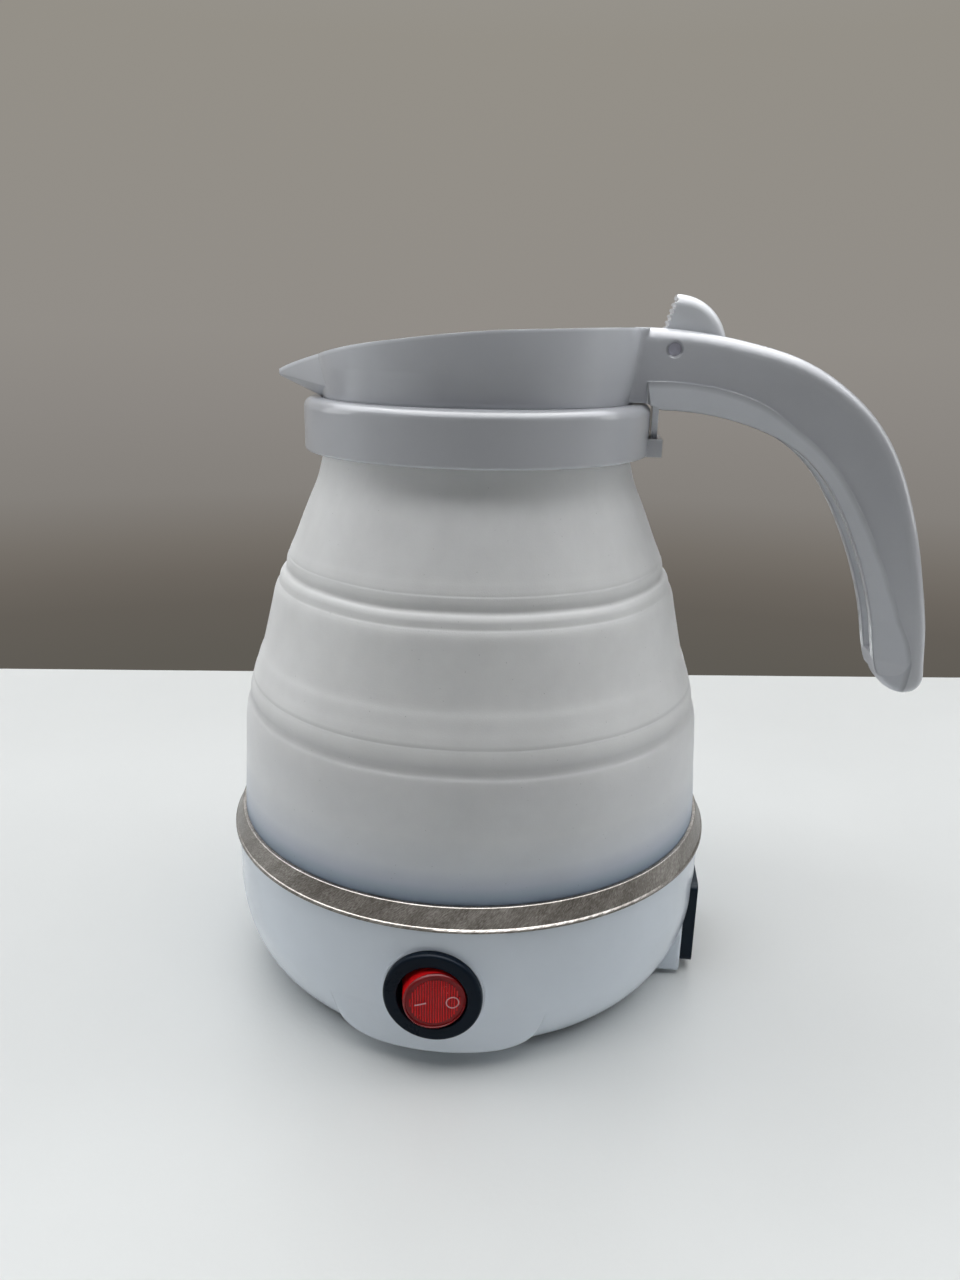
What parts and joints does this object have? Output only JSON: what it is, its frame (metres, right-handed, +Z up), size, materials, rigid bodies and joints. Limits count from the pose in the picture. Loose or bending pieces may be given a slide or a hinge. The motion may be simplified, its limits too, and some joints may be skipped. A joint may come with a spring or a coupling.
{
  "type": "collapsible kettle",
  "caption": "Collapsible electric travel kettle: heated base, folding silicone wall, spouted top with fixed handle, hinged lid and round rocker switch.",
  "frame": {"origin": "on the kettle's own axis at the surface its feet stand on", "axes": "+Z up along the kettle's axis, +X towards the handle, -X towards the spout, the power switch faces -Y"},
  "size_m": [0.1818, 0.1334, 0.1762],
  "materials": {
    "housing_plastic": "semi-gloss",
    "cover_plastic": "satin",
    "top_plastic": "fine satin",
    "lid_plastic": "semi-gloss",
    "silicone": "soft satin",
    "black_rubber": "matte",
    "brushed_ring": "brushed",
    "stainless": "satin",
    "plated_steel": "bright",
    "aluminium": "cast",
    "brass": "satin",
    "switch_plastic": "satin",
    "inlet_plastic": "satin",
    "red_plastic": "translucent gloss",
    "lamp_glass": "clear",
    "thermostat_case": "moulded",
    "brown_sleeve": "matte",
    "blue_sleeve": "matte",
    "green_sleeve": "matte",
    "white_sleeve": "matte"
  },
  "bodies": {
    "base": {"base_housing": "housing_plastic", "base_cover": "cover_plastic", "cover_screws": "plated_steel", "rubber_pad": "black_rubber", "switch_body": "switch_plastic", "switch_lamp": "lamp_glass", "switch_terminals": "brass", "inlet_socket": "inlet_plastic", "inlet_pins": "plated_steel", "heater_pan": "stainless", "heat_spreader": "aluminium", "heating_element": "aluminium", "element_pins": "plated_steel", "thermostat": "thermostat_case", "thermostat_terminals": "brass", "thermostat_clip": "stainless", "clip_screws": "plated_steel", "thermal_fuse": "aluminium", "fuse_strap": "stainless", "earth_stud": "plated_steel", "clamp_ring": "brushed_ring", "silicone_lower_wall": "silicone", "silicone_fold_wall": "silicone", "live_wire": "brown_sleeve", "switched_wire": "brown_sleeve", "heater_wire": "white_sleeve", "neutral_wire": "blue_sleeve", "fuse_wire": "white_sleeve", "lamp_wire": "blue_sleeve", "earth_wire": "green_sleeve"},
    "upper": {"silicone_upper_wall": "silicone", "collar": "top_plastic", "neck_clamp_ring": "top_plastic", "top_frame": "top_plastic", "hinge_pin": "plated_steel"},
    "lid": {"lid": "lid_plastic", "lid_seal": "silicone"},
    "rocker": {"switch_rocker": "red_plastic"}
  },
  "joints": [
    {"name": "collapse", "type": "slide", "parent": "base", "child": "upper", "axis": [0, 0, 1], "range_m": [-0.068, 0], "deforming": ["silicone_fold_wall"]},
    {"name": "lid_hinge", "type": "hinge", "parent": "upper", "child": "lid", "pos_m": [0.0472, 0, 0.1638], "axis": [0, 1, 0], "range_deg": [0, 85]},
    {"name": "rocker", "type": "hinge", "parent": "base", "child": "rocker", "pos_m": [0, -0.0627, 0.0221], "axis": [0, 0, -1], "range_deg": [0, 24]}
  ]
}
